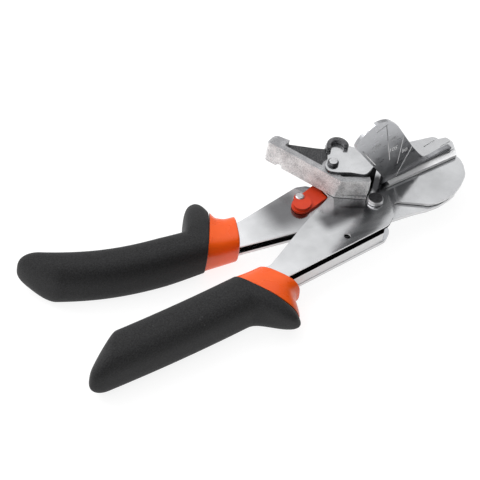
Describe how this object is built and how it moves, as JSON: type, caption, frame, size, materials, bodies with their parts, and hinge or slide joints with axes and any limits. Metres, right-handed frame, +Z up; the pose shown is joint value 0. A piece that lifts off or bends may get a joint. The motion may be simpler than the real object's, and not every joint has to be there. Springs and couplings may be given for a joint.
{
  "type": "mitre shears",
  "caption": "Hand-held mitre shears with channel handles, moulded grips, a flat blade closing on a slotted anvil, a standing mitre scale, a swinging cast stop and a lock lever",
  "frame": {"origin": "pivot axis at the plane that the tool lies on", "axes": "+X pivot to blade tip, +Y toward the anvil side, +Z up along the pivot axis and the standing mitre scale"},
  "size_m": [0.2567, 0.1008, 0.0752],
  "materials": {
    "chrome_plate": "bright plated sheet steel",
    "blade_steel": "polished hardened steel",
    "steel": "bright steel fasteners",
    "die_cast": "rough die-cast alloy, lightly plated",
    "black_rubber": "matt black foam-like grip",
    "orange_plastic": "glossy orange collar",
    "red_plastic": "red-orange moulded lever"
  },
  "bodies": {
    "anvil_side": {"front_handle_channel": "chrome_plate", "anvil_lower_plate": "chrome_plate", "anvil_spacer": "steel", "anvil_rivet_heel": "steel", "anvil_rivet_tip": "steel", "mitre_scale": "chrome_plate", "stop_bracket": "chrome_plate", "bracket_rivet_near": "steel", "bracket_rivet_far": "steel", "bracket_arch": "die_cast", "stop_rivet": "steel", "pivot_bolt": "steel", "pivot_nut": "steel", "pivot_washer": "steel", "pivot_sleeve": "steel", "return_spring": "steel", "front_grip_collar": "orange_plastic", "front_grip_sleeve": "black_rubber"},
    "blade_side": {"back_handle_channel": "chrome_plate", "blade": "blade_steel", "blade_rivet_heel": "steel", "blade_rivet_tip": "steel", "lock_rivet": "steel", "back_grip_collar": "orange_plastic", "back_grip_sleeve": "black_rubber"},
    "stop": {"angle_stop": "die_cast"},
    "lock": {"lock_lever": "red_plastic"}
  },
  "joints": [
    {"name": "blade_pivot", "type": "hinge", "parent": "anvil_side", "child": "blade_side", "pos_m": [0, 0, 0.016], "axis": [0, 0, -1], "range_deg": [-4, 30]},
    {"name": "angle_stop_swivel", "type": "hinge", "parent": "anvil_side", "child": "stop", "pos_m": [-0.0159, 0.0208, 0.03], "axis": [0, 0, -1], "range_deg": [0, 35]},
    {"name": "lock_lever_pivot", "type": "hinge", "parent": "blade_side", "child": "lock", "pos_m": [-0.0336, 0.0212, 0.0178], "axis": [0, 0, -1], "range_deg": [0, 30]}
  ]
}
